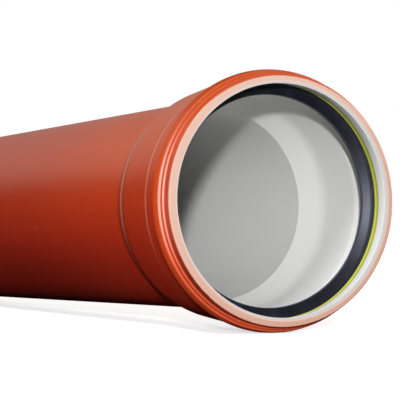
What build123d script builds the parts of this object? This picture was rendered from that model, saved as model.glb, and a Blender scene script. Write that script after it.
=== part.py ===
from build123d import *
import math
import os

# Sewer pipe of solid-wall polypropylene, 160 mm outside, sold as a one metre length with an integral socket.
# Every piece is turned about the pipe's axis. Depths run from the mouth of the socket into the pipe, in mm.

# Barrel
barrel_radius = 80.0
barrel_wall = 6.2
useful_length = 1000.0  # the sold length, from the spigot's end to the stop inside the socket
spigot_chamfer_angle = 15.0
spigot_edge_thickness = 3.1  # what the chamfer leaves of the wall

# Socket, outside
mouth_radius = 90.1
lip_length = 6.4
lip_rear_radius = 91.0
lip_step_slope = 0.5
rib_radius = 92.3  # of the narrow rib between the lip and the bead
rib_width = 2.6
bead_front_slope = 0.6
bead_front_radius = 93.75
bead_crest_rise = 4.8  # along the axis, from the bead's front edge to the crest
bead_radius = 94.9
bead_crest_width = 3.0
bead_rear_slope = 3.5
collar_front_radius = 92.6
collar_width = 12.6
collar_rear_radius = 92.1
collar_step = 0.5  # down to the sleeve
collar_step_slope = 0.6
sleeve_front_depth = 46.0
sleeve_front_radius = 90.9
shoulder_start_depth = 86.0
shoulder_start_radius = 87.4
shoulder_length = 27.5

# Socket, inside
mouth_wall = 6.5
throat_radius = 84.5  # of the lip's inside, where the groove begins
groove_front_depth = 9.6
groove_wall = 6.0
seal_room_end = 38.0  # depth at which the wall behind the seal starts to close in on a spigot
sleeve_wall = 6.0
shoulder_wall = 5.4  # where the shoulder starts, thinned by the forming
stop_lead = 1.3  # from the stop to the shoulder's end on the outside

# Rounding of the formed wall
edge_round = 0.8
bead_front_round = 0.6
bead_rear_round = 3.5
shoulder_start_round = 30.0
shoulder_inner_round = 60.0
shoulder_end_round = 14.0

# Rings in the groove
ring_clearance = 0.15  # round each ring, to the groove's wall
retainer_width = 7.3
retainer_rear_radius = 85.3
retainer_foot_radius = 85.0  # in front of the ring's nose
retainer_nose_radius = 84.2
retainer_nose_front_slope = 0.5
retainer_nose_width = 0.7
retainer_nose_rear_slope = 1.7
retainer_edge_bevel = 0.8
seal_shoulder_width = 1.0  # of the groove's level floor behind the retaining ring
seal_lip_radius = 77.0
seal_lip_land = 2.5
seal_lip_reach = 4.0  # how far the front face slopes inward along the axis
seal_lip_thickness = 4.2
seal_heel_width = 4.0
seal_heel_radius = 83.4
seal_seat_gap = 0.3  # along the axis, to the sloping rear of the groove

# Worked out from the values above
rib_front_depth = lip_length + lip_step_slope
bead_foot_depth = rib_front_depth + rib_width
bead_front_depth = bead_foot_depth + bead_front_slope
bead_crest_start = bead_front_depth + bead_crest_rise
bead_crest_end = bead_crest_start + bead_crest_width
bead_rear_depth = bead_crest_end + bead_rear_slope
collar_rear_depth = bead_rear_depth + collar_width
shoulder_end_depth = shoulder_start_depth + shoulder_length
stop_depth = shoulder_end_depth - stop_lead
total_length = useful_length + stop_depth
bore_radius = barrel_radius - barrel_wall
mouth_inner_radius = mouth_radius - mouth_wall
spigot_chamfer_depth = barrel_wall - spigot_edge_thickness
spigot_chamfer_length = spigot_chamfer_depth / math.tan(math.radians(spigot_chamfer_angle))
groove_radius = bead_radius - groove_wall
groove_rear_radius = collar_front_radius - sleeve_wall
retainer_rear_depth = groove_front_depth + retainer_width
groove_floor_end = retainer_rear_depth + seal_shoulder_width
seal_tip_depth = retainer_rear_depth + seal_lip_reach
seal_land_end = seal_tip_depth + seal_lip_land


def turned(outline):
    """The solid that a closed outline of (depth, radius, rounding) corners makes about the pipe's axis.

    The spigot's end stands at height 0 and the mouth at the top.
    """
    corners = [(radius, 0, total_length - depth) for depth, radius, _ in outline]
    roundings = [rounding for _, _, rounding in outline]
    section = make_face(FilletPolyline(*corners, radius=roundings, close=True))
    return revolve(section, Axis.Z)


def pipe():
    """Barrel, shoulder, sleeve, collar, bead, rib and lip: one wall, formed from one extruded tube."""
    outside = [
        (0, mouth_radius, edge_round),
        (lip_length, lip_rear_radius, 0),
        (rib_front_depth, rib_radius, 0),
        (bead_foot_depth, rib_radius, 0),
        (bead_front_depth, bead_front_radius, bead_front_round),
        (bead_crest_start, bead_radius, 0),
        (bead_crest_end, bead_radius, bead_rear_round),
        (bead_rear_depth, collar_front_radius, 0),
        (collar_rear_depth, collar_rear_radius, 0),
        (collar_rear_depth + collar_step_slope, collar_rear_radius - collar_step, 0),
        (sleeve_front_depth, sleeve_front_radius, 0),
        (shoulder_start_depth, shoulder_start_radius, shoulder_start_round),
        (shoulder_end_depth, barrel_radius, shoulder_end_round),
        (total_length - spigot_chamfer_length, barrel_radius, 0),
        (total_length, barrel_radius - spigot_chamfer_depth, 0),
    ]
    inside = [
        (total_length, bore_radius, 0),
        (stop_depth, bore_radius, 0),
        (shoulder_start_depth, shoulder_start_radius - shoulder_wall, shoulder_inner_round),
        (sleeve_front_depth, sleeve_front_radius - sleeve_wall, 0),
        (seal_room_end, groove_rear_radius, 0),
        (bead_rear_depth, groove_rear_radius, 0),
        (groove_floor_end, groove_radius, 0),
        (groove_front_depth, groove_radius, 0),
        (groove_front_depth, throat_radius, 0),
        (0, mouth_inner_radius, edge_round),
    ]
    return turned(outside + inside)


def retaining_ring():
    """The plastic ring that locks the seal into the groove, flush with the lip's inside and with a nose at its rear."""
    rim = groove_radius - ring_clearance
    nose_rear = retainer_rear_depth - retainer_nose_rear_slope
    nose_front = nose_rear - retainer_nose_width
    return turned(
        [
            (groove_front_depth, throat_radius, 0),
            (nose_front - retainer_nose_front_slope, retainer_foot_radius, 0),
            (nose_front, retainer_nose_radius, 0),
            (nose_rear, retainer_nose_radius, 0),
            (retainer_rear_depth, retainer_rear_radius, 0),
            (retainer_rear_depth, rim, 0),
            (groove_front_depth + retainer_edge_bevel, rim, 0),
            (groove_front_depth, rim - retainer_edge_bevel, 0),
        ]
    )


def seal_ring():
    """The rubber lip seal: its heel fills the groove, and its lip slopes inward, away from the mouth."""
    heel_end = bead_rear_depth + seal_heel_width
    rear_rim = groove_rear_radius - ring_clearance
    rim = groove_radius - ring_clearance
    return turned(
        [
            (retainer_rear_depth, retainer_rear_radius, 0),
            (seal_tip_depth, seal_lip_radius, 0),
            (seal_land_end, seal_lip_radius, 0),
            (seal_land_end - seal_lip_thickness / 2, seal_heel_radius, 0),
            (heel_end, seal_heel_radius + seal_lip_land / 2, 0),
            (heel_end, rear_rim, 0),
            (bead_rear_depth - seal_seat_gap, rear_rim, 0),
            (groove_floor_end - seal_seat_gap, rim, 0),
            (retainer_rear_depth, rim, 0),
        ]
    )


if __name__ == "__main__":
    os.makedirs("parts", exist_ok=True)
    lying = Rot(0, 90, 0)  # the pipe lies along X with its mouth toward +X
    export_step(lying * pipe(), "parts/pipe.step")
    export_step(lying * retaining_ring(), "parts/retaining_ring.step")
    export_step(lying * seal_ring(), "parts/seal_ring.step")
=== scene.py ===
import bpy
import math
import numpy as np
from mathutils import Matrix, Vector


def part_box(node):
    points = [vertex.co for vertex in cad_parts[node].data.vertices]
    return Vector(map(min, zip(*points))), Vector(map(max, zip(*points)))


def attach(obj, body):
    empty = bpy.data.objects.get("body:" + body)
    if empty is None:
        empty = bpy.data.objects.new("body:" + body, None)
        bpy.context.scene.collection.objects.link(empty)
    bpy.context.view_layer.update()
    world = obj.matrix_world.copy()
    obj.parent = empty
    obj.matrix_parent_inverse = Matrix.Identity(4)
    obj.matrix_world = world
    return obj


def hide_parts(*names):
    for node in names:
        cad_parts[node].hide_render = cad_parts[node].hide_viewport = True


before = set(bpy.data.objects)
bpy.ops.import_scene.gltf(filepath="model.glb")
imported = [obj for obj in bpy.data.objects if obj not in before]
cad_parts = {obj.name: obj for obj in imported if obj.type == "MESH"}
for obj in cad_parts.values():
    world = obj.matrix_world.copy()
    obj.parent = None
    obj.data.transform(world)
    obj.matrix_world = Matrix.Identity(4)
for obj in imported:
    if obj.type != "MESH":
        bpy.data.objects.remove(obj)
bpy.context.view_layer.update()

# Pipe: barrel and socket in one wall of polypropylene, 160 mm outside the barrel.
# Three layers are extruded together, an orange skin, a pink core and a pale inside.
# The socket is formed hot over a mandrel, and both ends are then cut, which bares the layers.
mm = 0.001
mouth_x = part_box("pipe")[1].x
total_length = mouth_x / mm
turns = 384  # faces round the pipe
ring_spacing = 30.0  # the longest step along the wall, in mm

# Sizes in mm. Depths run from the mouth into the pipe.
barrel_radius = 80.0
barrel_wall = 6.2
mouth_radius = 90.5
mouth_wall = 6.9
bead_radius = 94.9
groove_radius = 88.9
groove_front = 9.6
throat_radius = 84.5
stop_depth = 112.2
chamfer_length = 11.57
chamfer_depth = 3.1

# Outer corners of the wall from the mouth to the spigot's end: depth, radius and rounding in mm.
# The narrow rib in front of the bead and the step behind the collar are edges of the forming mould.
outer_corners = [
    (0.0, mouth_radius, 0.8),
    (6.3, 90.7, 0.5),
    (6.9, 92.1, 0.35),
    (9.5, 92.2, 0.3),
    (10.1, 93.75, 0.6),
    (14.9, bead_radius, 16.0),
    (17.9, bead_radius, 3.5),
    (21.4, 92.6, 2.0),
    (34.0, 92.1, 0.4),
    (34.6, 91.6, 0.6),
    (46.0, 90.9, 20.0),
    (86.0, 87.4, 30.0),
    (113.5, barrel_radius, 14.0),
    (total_length - chamfer_length, barrel_radius, 0.3),
    (total_length, barrel_radius - chamfer_depth, 0.25),
]
inner_corners = [
    (total_length, barrel_radius - barrel_wall, 0.25),
    (stop_depth, barrel_radius - barrel_wall, 3.0),
    (86.0, 82.0, 60.0),
    (46.0, 84.9, 20.0),
    (38.0, 86.6, 8.0),
    (21.4, 86.6, 0.5),
    (17.9, groove_radius, 0.5),
    (groove_front, groove_radius, 0.3),
    (groove_front, throat_radius, 0.3),
    (0.0, mouth_radius - mouth_wall, 0.06),
]


def rounded(corners, steps=7):
    """The points of a closed outline whose corners are rounded by arcs tangent to both sides.

    At each corner, a side's tangent point lies rounding / tan(half the corner's angle) away, and the
    arc's centre lies rounding / sin(half the angle) along the bisector. The arc runs between the two
    tangent points by spherical interpolation of its two end spokes.
    """
    table = np.array(corners, float)
    at, rounding = table[:, :2], table[:, 2:]
    back = np.roll(at, 1, 0) - at
    on = np.roll(at, -1, 0) - at
    back /= np.linalg.norm(back, axis=1, keepdims=True)
    on /= np.linalg.norm(on, axis=1, keepdims=True)
    half = np.arccos(np.clip((back * on).sum(1, keepdims=True), -1, 1)) / 2
    bisector = (back + on) / np.linalg.norm(back + on, axis=1, keepdims=True)
    centre = at + bisector * rounding / np.sin(half)
    first = at + back * rounding / np.tan(half) - centre
    last = at + on * rounding / np.tan(half) - centre
    sweep = (np.pi - 2 * half)[:, None]
    share = np.linspace(0, 1, steps)[None, :, None]
    spokes = first[:, None] * np.sin((1 - share) * sweep) + last[:, None] * np.sin(share * sweep)
    return (centre[:, None] + spokes / np.sin(sweep)).reshape(-1, 2)


def divided(outline, spacing):
    """The outline with points added along each side longer than the spacing, evenly between its ends."""
    ends = np.roll(outline, -1, 0)
    counts = np.ceil(np.linalg.norm(ends - outline, axis=1) / spacing).astype(int).clip(1)
    start = np.repeat(np.arange(len(outline)), counts)
    step = np.arange(counts.sum()) - np.repeat(counts.cumsum() - counts, counts)
    share = (step / counts[start])[:, None]
    return outline[start] * (1 - share) + ends[start] * share


def turned(name, outline, marks=None):
    """A closed ring of faces: the outline of (depth, radius) points in mm, turned about the X axis.

    The outline goes into the pipe on the outside and comes back on the inside, so the faces look outward.
    Point (i, j) of the grid is outline point i at the angle 2 pi j / turns: x = mouth_x - depth,
    y = radius cos(angle), z = radius sin(angle). marks(depth, radius, angle) gives the radius with relief.
    """
    rows = len(outline)
    angle = np.tile(np.arange(turns) * 2 * np.pi / turns, (rows, 1))
    depth = np.repeat(outline[:, :1], turns, 1)
    radius = np.repeat(outline[:, 1:], turns, 1)
    if marks:
        radius = marks(depth, radius, angle)
    across, height = radius * mm * np.cos(angle), radius * mm * np.sin(angle)
    points = np.stack([mouth_x - depth * mm, across, height], -1)
    i, j = np.meshgrid(np.arange(rows), np.arange(turns), indexing="ij")
    after, beside = (i + 1) % rows, (j + 1) % turns
    faces = np.stack([i * turns + j, after * turns + j, after * turns + beside, i * turns + beside], -1)
    mesh = bpy.data.meshes.new(name)
    mesh.vertices.add(rows * turns)
    mesh.vertices.foreach_set("co", points.ravel())
    mesh.loops.add(faces.size)
    mesh.loops.foreach_set("vertex_index", faces.ravel())
    mesh.polygons.add(rows * turns)
    mesh.polygons.foreach_set("loop_start", np.arange(rows * turns) * 4)
    mesh.update(calc_edges=True)
    mesh.polygons.foreach_set("use_smooth", np.ones(rows * turns, bool))
    made = bpy.data.objects.new(name, mesh)
    bpy.context.collection.objects.link(made)
    return made


# Where the pipe was knocked: angle round the mouth in degrees, depth from the mouth and depth of the dent.
knocks = [(158.5, 3.5, 0.5), (-132.0, 0.0, 0.35), (-3.0, 0.5, 0.4), (-26.0, 1.0, 0.3)]
knock_width = 1.3
knock_length = 2.6


def knocked(depth, radius, angle):
    """Small dents in the lip: each sinks the outside by a bell curve in depth and arc length."""
    for turn, place, sink in knocks:
        away = (angle - math.radians(turn) + np.pi) % (2 * np.pi) - np.pi
        bell = np.exp(-((away * radius / knock_width) ** 2) - ((depth - place) / knock_length) ** 2)
        radius = radius - sink * bell * (radius > mouth_radius - mouth_wall / 2)
    return radius


class Value:
    """An output of a paint's node. Arithmetic on values adds Math nodes to that paint."""

    def __init__(self, paint, socket):
        self.paint = paint
        self.socket = socket

    def math(self, operation, first, second):
        return self.paint.node("ShaderNodeMath", {"operation": operation}, {0: first, 1: second})

    def __add__(self, other):
        return self.math("ADD", self, other)

    def __radd__(self, other):
        return self.math("ADD", other, self)

    def __sub__(self, other):
        return self.math("SUBTRACT", self, other)

    def __rsub__(self, other):
        return self.math("SUBTRACT", other, self)

    def __mul__(self, other):
        return self.math("MULTIPLY", self, other)

    def __rmul__(self, other):
        return self.math("MULTIPLY", other, self)

    def __truediv__(self, other):
        return self.math("DIVIDE", self, other)


class Paint:
    """The nodes of a material or of the world, made one by one."""

    def __init__(self, owner):
        owner.use_nodes = True
        self.owner = owner
        self.tree = owner.node_tree
        self.tree.nodes.clear()
        self.place = self.node("ShaderNodeTexCoord", output="Object")

    def node(self, kind, settings=None, inputs=None, output=0):
        """One output of a new node. Its settings are set first, then its inputs are set or linked."""
        made = self.tree.nodes.new(kind)
        for name, setting in (settings or {}).items():
            setattr(made, name, setting)
        for key, given in (inputs or {}).items():
            if isinstance(given, Value):
                self.tree.links.new(given.socket, made.inputs[key])
            else:
                made.inputs[key].default_value = given
        return Value(self, made.outputs[output]) if made.outputs else None

    def stretched(self, scale):
        """Object coordinates, in metres, times a scale for each axis."""
        settings = {"operation": "MULTIPLY"}
        return self.node("ShaderNodeVectorMath", settings, {0: self.place, 1: scale}, "Vector")

    def noise(self, scale, detail=2.0, roughness=0.5):
        """Noise from 0 to 1 with a scale for each axis, in waves to the metre."""
        place = self.stretched(scale)
        inputs = {"Vector": place, "Scale": 1.0, "Detail": detail, "Roughness": roughness}
        return self.node("ShaderNodeTexNoise", None, inputs, "Fac")

    def step(self, value, low, high):
        """0 below low, 1 above high, and smooth between."""
        inputs = {"Value": value, "From Min": low, "From Max": high}
        return self.node("ShaderNodeMapRange", {"interpolation_type": "SMOOTHSTEP"}, inputs, "Result")

    def mix(self, share, first, second):
        """The first colour turning into the second as share goes from 0 to 1."""
        inputs = {0: share, 6: first, 7: second}
        return self.node("ShaderNodeMix", {"data_type": "RGBA"}, inputs, 2)

    def bump(self, height, distance, strength=1.0):
        """A normal from a height, whose full range stands the distance proud, in metres."""
        inputs = {"Height": height, "Distance": distance, "Strength": strength}
        return self.node("ShaderNodeBump", None, inputs, "Normal")

    def finish(self, **inputs):
        """Ends the paint with its shader, whose sockets are named with _ for a space."""
        named = {name.replace("_", " "): given for name, given in inputs.items()}
        named["IOR"] = named.pop("ior", 1.49)
        shader = self.node("ShaderNodeBsdfPrincipled", None, named)
        self.node("ShaderNodeOutputMaterial", None, {"Surface": shader})
        return self.owner


# Colours of the three layers. The formed socket's skin is lighter than the barrel's.
skin_red = (0.38, 0.020, 0.008, 1.0)
# The orange skins paint a warm sheen on the upper side, and tint the bead.
skin_orange = (0.37, 0.045, 0.012, 1.0)
formed_red = (0.50, 0.028, 0.009, 1.0)
formed_orange = (0.46, 0.062, 0.011, 1.0)
# Whitened skin, for wear and for the painted highlights along the socket's edges.
skin_wear_and_highlight = (0.66, 0.31, 0.24, 1.0)
# Lit and shaded copies of the core: the cut face is painted lighter on one side than on the other.
core_lit_side = (0.69, 0.45, 0.36, 1.0)
core_shaded_side = (0.60, 0.34, 0.255, 1.0)
core_cream = (0.74, 0.55, 0.48, 1.0)
inside_pale = (0.71, 0.71, 0.705, 1.0)
inside_dust = (0.50, 0.49, 0.47, 1.0)
inside_cut = (0.53, 0.52, 0.50, 1.0)

# Shares of the wall's thickness between which the paint changes.
skin_into_core = (0.01, 0.15)
cut_into_inside = (0.97, 0.999)  # the cut face ends and the inside begins
core_into_inside = (-0.05, 0.05)  # counted from the core's inner edge
cream_rim = (-0.20, 0.0)  # counted likewise
layer_wander = 0.06
skin_thickening = 0.14

# Heights above the axis, in metres, between which it changes.
orange_rise = (-0.05, 0.07)  # the skin turns from red to orange, a painted warm sheen
underside_rise = (-0.075, -0.02)  # the painted light on the socket's underside ends
high_rise = (0.0, 0.06)  # the whitened edge bands on the bead fade, and the lip is painted paler
low_rise = (-0.055, -0.005)  # the painted shade under the lip and in the crease ends, and the whitened edge bands begin
thick_skin_rise = (0.06, 0.088)  # the cut face shows a thicker skin

# The cut face is painted lighter on its upper left, seen from the mouth, and shaded on the other side:
# a direction across and up toward the lit side, and the spread in metres on it.
lit_side_across, lit_side_up = -0.57, 0.82
lit_side_spread = (-0.08, 0.08)

# Depths in mm between which it changes.
lip_fade = (6.0, 6.6)
bead_fade = (14.0, 22.0)
skin_fade = (60.0, 380.0)  # the socket's skin turns into the barrel's
crease_start = (17.5, 20.5)  # the crease lies behind the bead, and is painted in shade below
crease_end = (23.0, 28.0)

# Whitened bands along the socket's edges, partly wear and partly painted highlights on the roundings:
# first depth, last depth and share.
edge_wear_and_highlight_bands = [
    (0.0, 0.9, 0.35),
    (0.9, 6.0, 0.08),
    (6.3, 7.2, 0.30),
    (9.6, 10.7, 0.45),
    (34.8, 38.0, 0.42),
    (93.5, 101.0, 0.70),
]

# Waves to the metre along X, Y and Z in each pattern of the paint, and how far its relief stands proud.
streak_waves = (0.8, 220.0, 220.0)
cloud_waves = (5.0, 9.0, 9.0)
grain_waves = (900.0, 900.0, 900.0)
rub_waves = (26.0, 420.0, 420.0)
dust_waves = (700.0, 700.0, 700.0)
layer_waves = (40.0, 90.0, 90.0)
trim_waves = 1000.0
skin_relief = 0.00008

# Levels of a pattern between which a mark starts to show and shows in full.
rub_levels = (0.66, 0.74)
rub_patch_levels = (0.5, 0.62)
dust_levels = (0.73, 0.80)
grime_levels = (0.45, 0.8)


def pipe_paint():
    """Orange skin, pink core and pale inside, by how deep in the wall the surface lies.

    The skin is redder below and oranger above, where a warm sheen is painted, and lighter on the socket.
    Light and shade are painted by height: the socket's underside lighter, the bead lighter below and darker
    above, the lip darker overall, paler above and in shade below, and the crease behind the bead in shade
    below. The skin is whitened along the socket's edges, partly as wear and partly as painted highlights.
    The cut face is painted lighter on its upper left and shaded on the other side.
    """
    paint = Paint(bpy.data.materials.new("polypropylene_layers"))
    wall = paint.node("ShaderNodeAttribute", {"attribute_name": "through_wall"}, None, "Fac")
    past_core = paint.node("ShaderNodeAttribute", {"attribute_name": "past_core"}, None, "Fac")
    place = {0: paint.place}
    along, across, height = (paint.node("ShaderNodeSeparateXYZ", None, place, axis) for axis in "XYZ")
    depth = (mouth_x - along) / mm
    off_axis = {0: paint.stretched((0.0, 1.0, 1.0))}
    radius = paint.node("ShaderNodeVectorMath", {"operation": "LENGTH"}, off_axis, "Value")
    trim_inputs = {"W": radius * trim_waves, "Scale": 1.0, "Detail": 1.0}
    trim = paint.node("ShaderNodeTexNoise", {"noise_dimensions": "1D"}, trim_inputs, "Fac")
    wander = (paint.noise(layer_waves, 3.0) - 0.5) * layer_wander
    thick_skin = paint.step(height, *thick_skin_rise) * skin_thickening
    in_core = paint.step(wall + wander * 0.4 - thick_skin, *skin_into_core)
    inside = paint.step(past_core + wander, *core_into_inside)
    cream = paint.step(past_core + wander, *cream_rim) * (1 - inside)
    streaks = paint.noise(streak_waves, 3.0, 0.6)
    clouds = paint.noise(cloud_waves, 3.0, 0.55)
    grain = paint.noise(grain_waves, 2.0)
    rubbed = paint.step(paint.noise(rub_waves, 2.0), *rub_levels)
    rubbed = rubbed * paint.step(clouds, *rub_patch_levels)
    dust = paint.step(paint.noise(dust_waves, 1.0), *dust_levels)
    upper = paint.step(height, *orange_rise)
    lower = 1 - paint.step(height, *underside_rise)
    high = paint.step(height, *high_rise)
    low = 1 - paint.step(height, *low_rise)
    on_barrel = paint.step(depth, *skin_fade)
    at_bead = 1 - paint.step(depth, *bead_fade)
    at_lip = 1 - paint.step(depth, *lip_fade)
    red = paint.mix(on_barrel, formed_red, skin_red)
    orange = paint.mix(on_barrel, formed_orange, skin_orange)
    skin = paint.mix(upper + at_bead * (1 - upper) * 0.6, red, orange)
    edges = 0.0
    for first, last, share in edge_wear_and_highlight_bands:
        soft = (last - first) * 0.3
        begun = paint.step(depth, first - soft, first + soft)
        ended = paint.step(depth, last - soft, last + soft)
        edges = edges + (begun - ended) * share
    # The whitened bands fade where shade is painted below, and on the bead's top.
    edges = edges * (1 - low * 0.85) * (1 - at_bead * high * 0.8)
    worn = rubbed * 0.18 + dust * 0.08
    skin = paint.mix((worn + edges) * (0.55 + clouds), skin, skin_wear_and_highlight)
    toward_lit_side = paint.step(height * lit_side_up + across * lit_side_across, *lit_side_spread)
    core = paint.mix(toward_lit_side, core_shaded_side, core_lit_side)
    core = paint.mix(cream, core, core_cream)
    pale = paint.mix(dust * 0.5 + paint.step(clouds, *grime_levels) * 0.1, inside_pale, inside_dust)
    past_cut = paint.step(wall, *cut_into_inside)
    pale = paint.mix(past_cut, inside_cut, pale)
    colour = paint.mix(in_core, skin, core)
    colour = paint.mix(inside, colour, pale)
    cut = in_core * (1 - past_cut)
    # Painted light and shade by place: the bead lighter below and darker above, the socket's underside
    # lighter, the lip darker, paler above and in shade below, and the crease behind the bead in shade
    # below.
    painted_light_and_shade = at_bead * (0.20 - upper * 0.34) + (1 - at_bead) * (1 - on_barrel) * lower * 0.35
    crease = paint.step(depth, *crease_start) - paint.step(depth, *crease_end)
    painted_light_and_shade = painted_light_and_shade + at_lip * (high * 0.3 - low * 0.35 - 0.18) - crease * low * 0.45
    shade = 1 - (1 - trim) * 0.35 * cut + (1 - in_core) * (painted_light_and_shade - (1 - streaks) * 0.16)
    shaded = {0: colour, "Scale": shade}
    colour = paint.node("ShaderNodeVectorMath", {"operation": "SCALE"}, shaded, "Vector")
    gloss = 0.34 + (streaks - 0.5) * 0.10 + cut * 0.22 + (clouds - 0.5) * 0.08
    gloss = gloss + worn * 0.35 + edges * at_bead * 0.40
    normal = paint.bump(streaks * 0.5 + grain * 0.25 + clouds * 0.5 + cut * trim, skin_relief, 0.6)
    return paint.finish(Base_Color=colour, Roughness=gloss, Normal=normal)


outline = divided(rounded(outer_corners + inner_corners), ring_spacing)
pipe = turned("pipe_wall", outline, knocked)

# How deep in the wall each point lies, from 0 outside to 1 inside, and how far past the core's inner edge.
# The core is thicker on one side than on the other, as the die left it.
mouth_face_depth = 1.0
spigot_face_margin = 0.2
core_share, core_shift_across, core_shift_up = 0.77, -0.20, 0.03
is_inside = np.arange(len(outline)) > np.argmax(outline[:, 0])
through = np.where(is_inside, 1.0, 0.0)
at_mouth = outline[:, 0] < mouth_face_depth
through[at_mouth] = ((mouth_radius - outline[at_mouth, 1]) / mouth_wall).clip(0, 1)
at_spigot = outline[:, 0] > total_length - chamfer_length - spigot_face_margin
through[at_spigot] = ((barrel_radius - outline[at_spigot, 1]) / barrel_wall).clip(0, 1)
around = np.arange(turns) * 2 * np.pi / turns
core_edge = core_share + core_shift_across * np.cos(around) + core_shift_up * np.sin(around)
for name, values in {
    "through_wall": np.repeat(through, turns),
    "past_core": (through[:, None] - core_edge).ravel(),
}.items():
    layer = pipe.data.attributes.new(name, "FLOAT", "POINT")
    layer.data.foreach_set("value", values.astype(np.float32))
pipe.data.materials.append(pipe_paint())
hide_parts("pipe")
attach(pipe, "root")

# Seal ring: black rubber, moulded in one piece. Its heel fills the groove in the bead,
# and its lip stands inward, where the next pipe's spigot presses it flat.
seal_corners = [
    (16.9, 88.75, 0.1),
    (17.6, 88.75, 0.3),
    (21.1, 86.45, 0.3),
    (25.4, 86.45, 0.3),
    (25.4, 84.7, 0.4),
    (21.3, 83.4, 1.0),
    (23.4, 77.0, 0.4),
    (20.7, 77.0, 1.2),
    (17.5, 82.6, 8.0),
    (16.9, 85.3, 0.15),
]
rubber_black = (0.006, 0.006, 0.010, 1.0)
rubber_bloom = (0.022, 0.023, 0.042, 1.0)
# Paler grey painted on the lip's tip, where light falls on it.
rubber_tip_lit = (0.05, 0.05, 0.07, 1.0)
rubber_gloss = (0.80, 0.84, 1.0, 1.0)
rubber_ior = 1.37
rubber_relief = 0.00006
bloom_waves = (60.0, 60.0, 60.0)
bloom_levels = (0.45, 0.75)
rubber_grain_waves = (1500.0, 1500.0, 1500.0)
tip_depths = (20.2, 21.0)  # between which the front face ends and the lip's tip begins


def seal_paint():
    """Matt black rubber with a faint grey bloom, painted paler at the lip's tip, where light falls on it.
    """
    paint = Paint(bpy.data.materials.new("black_rubber"))
    bloom = paint.noise(bloom_waves, 4.0, 0.6)
    grain = paint.noise(rubber_grain_waves, 2.0)
    along = paint.node("ShaderNodeSeparateXYZ", None, {0: paint.place}, "X")
    tip_lit = paint.step((mouth_x - along) / mm, *tip_depths)
    colour = paint.mix(paint.step(bloom, *bloom_levels) * 0.5, rubber_black, rubber_bloom)
    colour = paint.mix(tip_lit, colour, rubber_tip_lit)
    gloss = 0.42 + (bloom - 0.5) * 0.10
    return paint.finish(
        Base_Color=colour,
        Roughness=gloss,
        Normal=paint.bump(grain + bloom, rubber_relief, 0.5),
        Specular_Tint=rubber_gloss,
        ior=rubber_ior,
    )


seal = turned("rubber_seal", rounded(seal_corners))
seal.data.materials.append(seal_paint())
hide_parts("seal_ring")
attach(seal, "root")

# Retaining ring: yellow-green plastic, moulded, pressed into the groove in front of the seal.
# It lies flush with the lip's inside, and its narrow nose holds the seal's front edge.
ring_corners = [
    (9.6, 87.95, 0.2),
    (10.4, 88.75, 0.2),
    (16.9, 88.75, 0.1),
    (16.9, 85.3, 0.1),
    (15.2, 84.85, 0.3),
    (14.5, 84.85, 0.2),
    (13.9, 85.2, 0.3),
    (9.6, 84.5, 0.2),
]
ring_green = (0.43, 0.46, 0.07, 1.0)
ring_shade = (0.37, 0.39, 0.05, 1.0)
flow_waves = (200.0, 35.0, 35.0)
flow_relief = 0.00004


def ring_paint():
    """Glossy moulded plastic with a slight flow pattern round the ring."""
    paint = Paint(bpy.data.materials.new("yellow_green_plastic"))
    flow = paint.noise(flow_waves, 3.0)
    colour = paint.mix(flow, ring_shade, ring_green)
    normal = paint.bump(flow, flow_relief, 0.5)
    return paint.finish(Base_Color=colour, Roughness=0.14 + flow * 0.1, Normal=normal)


ring = turned("locking_ring", rounded(ring_corners))
ring.data.materials.append(ring_paint())
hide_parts("retaining_ring")
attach(ring, "root")

# Floor: a plain pale sheet that touches the pipe under the bead and under the spigot's end, so it slopes.
# To the camera it is white with the pipe's shadow on it, and it throws little light back up.
floor_reach = 40.0
bead_foot_depth = 12.0
bead_x = mouth_x - bead_foot_depth * mm
rest_slope = (bead_radius - barrel_radius) * mm / (bead_x - chamfer_length * mm)
floor_x = np.array([-floor_reach, floor_reach, floor_reach, -floor_reach])
floor_y = np.array([-floor_reach, -floor_reach, floor_reach, floor_reach])
floor_z = -bead_radius * mm - rest_slope * (floor_x - bead_x)
floor_mesh = bpy.data.meshes.new("floor")
floor_mesh.from_pydata(np.stack([floor_x, floor_y, floor_z], -1).tolist(), [], [(0, 1, 2, 3)])
floor = bpy.data.objects.new("floor", floor_mesh)
bpy.context.collection.objects.link(floor)

# The floor's glow is weaker near the foot of the mouth and full from the farther reach on.
floor_glow = 0.64
far_glow = 0.40
glow_reach = (0.6, 2.4)
floor_white = (0.92, 0.92, 0.92, 1.0)
floor_dark = (0.10, 0.10, 0.10, 1.0)
white = (1.0, 1.0, 1.0, 1.0)


def seen_directly(paint):
    """1 for rays from the camera, a mirror or glass, and 0 for those that light matt surfaces."""
    names = ("Is Camera Ray", "Is Glossy Ray", "Is Transmission Ray")
    camera, mirror, glass = (paint.node("ShaderNodeLightPath", output=name) for name in names)
    return camera + mirror + glass


cloth = Paint(bpy.data.materials.new("floor_cloth"))
seen = seen_directly(cloth)
matt = cloth.node("ShaderNodeBsdfDiffuse", None, {"Color": cloth.mix(seen, floor_dark, floor_white)})
mouth_foot = {0: cloth.place, 1: (mouth_x, 0.0, -bead_radius * mm)}
away = cloth.node("ShaderNodeVectorMath", {"operation": "DISTANCE"}, mouth_foot, "Value")
strength = seen * (floor_glow + far_glow * cloth.step(away, *glow_reach))
glow = cloth.node("ShaderNodeEmission", None, {"Color": white, "Strength": strength})
lit = cloth.node("ShaderNodeAddShader", None, {0: matt, 1: glow})
cloth.node("ShaderNodeOutputMaterial", None, {"Surface": lit})
floor_mesh.materials.append(cloth.owner)

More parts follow.
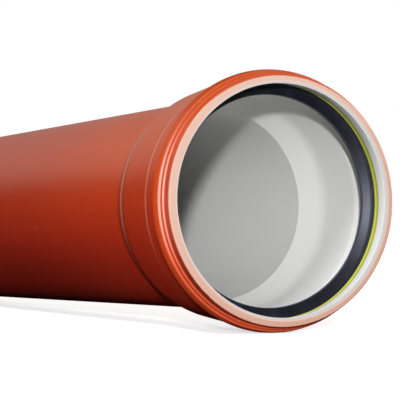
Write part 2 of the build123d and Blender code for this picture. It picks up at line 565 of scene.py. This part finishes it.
# Cards that only mirror images show. One lies on the floor round the pipe, stands along it and turns across
# behind the spigot's end, black but for a grey band above the pipe, which gives the barrel its pale gloss.
# The other is a black roof with a screen before the mouth and one beside it, which keep the rubber dark.
card_front, card_back = 1.90, -1.90
card_near, card_far, card_end = -0.70, 0.90, 2.20
card_wall_front = 1.15
card_height = 3.8
card_lift = 0.0005
card_plan = np.array(
    [(card_front, card_far), (card_front, card_near), (card_back, card_near), (card_back, card_end)]
)
foot = -bead_radius * mm - rest_slope * (card_plan[:, 0] - bead_x) + card_lift
card_foot = np.column_stack([card_plan, foot])
card_top = card_foot + [0.0, 0.0, card_height]
card_top[1] = [card_wall_front, card_near, card_height]
wall_foot = np.array([[card_back, card_far, foot[3]], [card_wall_front, card_near, foot[1]]])
card_points = np.concatenate([card_foot, card_top, wall_foot])
card_faces = [(0, 1, 2, 8), (9, 2, 6, 5), (2, 3, 7, 6)]
room_x, room_y, room_z = (-1.9, 6.2), (-4.0, 5.0), (-0.1, 3.8)
room_points = np.array([(x, y, z) for x in room_x for y in room_y for z in room_z])
room_faces = [(1, 3, 7, 5), (4, 5, 7, 6), (0, 1, 5, 4)]


def mirror_card(name, points, faces, material):
    """A card that glossy rays meet and all others pass."""
    mesh = bpy.data.meshes.new(name)
    mesh.from_pydata(points.tolist(), [], faces)
    mesh.materials.append(material)
    made = bpy.data.objects.new(name, mesh)
    bpy.context.collection.objects.link(made)
    made.visible_camera = False
    made.visible_diffuse = False
    made.visible_shadow = False


card_grey = (0.50, 0.47, 0.43, 1.0)
band_bottom = (0.25, 0.75)
band_top = (1.4, 2.0)
sheet = Paint(bpy.data.materials.new("reflection_sheet"))
level = sheet.node("ShaderNodeSeparateXYZ", None, {0: sheet.place}, "Z")
band = sheet.step(level, *band_bottom) - sheet.step(level, *band_top)
pale = sheet.node("ShaderNodeEmission", None, {"Color": card_grey, "Strength": band})
sheet.node("ShaderNodeOutputMaterial", None, {"Surface": pale})
felt = Paint(bpy.data.materials.new("black_felt"))
black = felt.node("ShaderNodeBsdfDiffuse", None, {"Color": (0.0, 0.0, 0.0, 1.0)})
felt.node("ShaderNodeOutputMaterial", None, {"Surface": black})
mirror_card("reflection_card", card_points, card_faces, sheet.owner)
mirror_card("dark_room", room_points, room_faces, felt.owner)

# Light: a small soft lamp behind the camera that shines into the mouth, a large one above on its left that
# no mirror image shows, one behind the pipe, and an even sky that the camera sees as white.
sky_light = 0.08
world = bpy.data.worlds.new("studio")
bpy.context.scene.world = world
sky = Paint(world)
brightness = sky_light + (1 - sky_light) * seen_directly(sky)
air = sky.node("ShaderNodeBackground", None, {"Color": white, "Strength": brightness})
sky.node("ShaderNodeOutputWorld", None, {"Surface": air})


def soft_lamp(name, direction, distance, size, level):
    """A round lamp aimed at the mouth. A white surface there that faces it has the given level."""
    light = bpy.data.lights.new(name, "AREA")
    light.shape = "DISK"
    light.size = size
    light.energy = level * (math.pi * distance) ** 2
    lamp = bpy.data.objects.new(name, light)
    toward = Vector(direction).normalized()
    lamp.location = Vector((mouth_x, 0.0, 0.0)) + toward * distance
    lamp.rotation_euler = toward.to_track_quat("Z", "Y").to_euler()
    lamp.visible_camera = False
    bpy.context.collection.objects.link(lamp)
    return lamp


soft_lamp("front_lamp", (0.886, -0.440, 0.112), 5.0, 0.25, 1.27)
left_lamp = soft_lamp("left_lamp", (0.28, -0.55, 0.78), 3.5, 1.4, 0.88)
left_lamp.visible_glossy = False
soft_lamp("rear_lamp", (-0.45, 0.80, 0.40), 4.0, 2.0, 0.60)

# Camera: level with the pipe and looking into the mouth from the side, as in the photograph.
camera_place = Vector((2.2466, -0.6125, -0.0409))
camera_target = Vector((0.9754, -0.0003, 0.0041))
camera = bpy.data.objects.new("camera", bpy.data.cameras.new("camera"))
camera.data.sensor_width = 36.0
camera.data.lens = 162.96
camera.location = camera_place
camera.rotation_euler = (camera_target - camera_place).to_track_quat("-Z", "Y").to_euler()
bpy.context.collection.objects.link(camera)
bpy.context.scene.camera = camera
bpy.context.scene.view_settings.view_transform = "Standard"
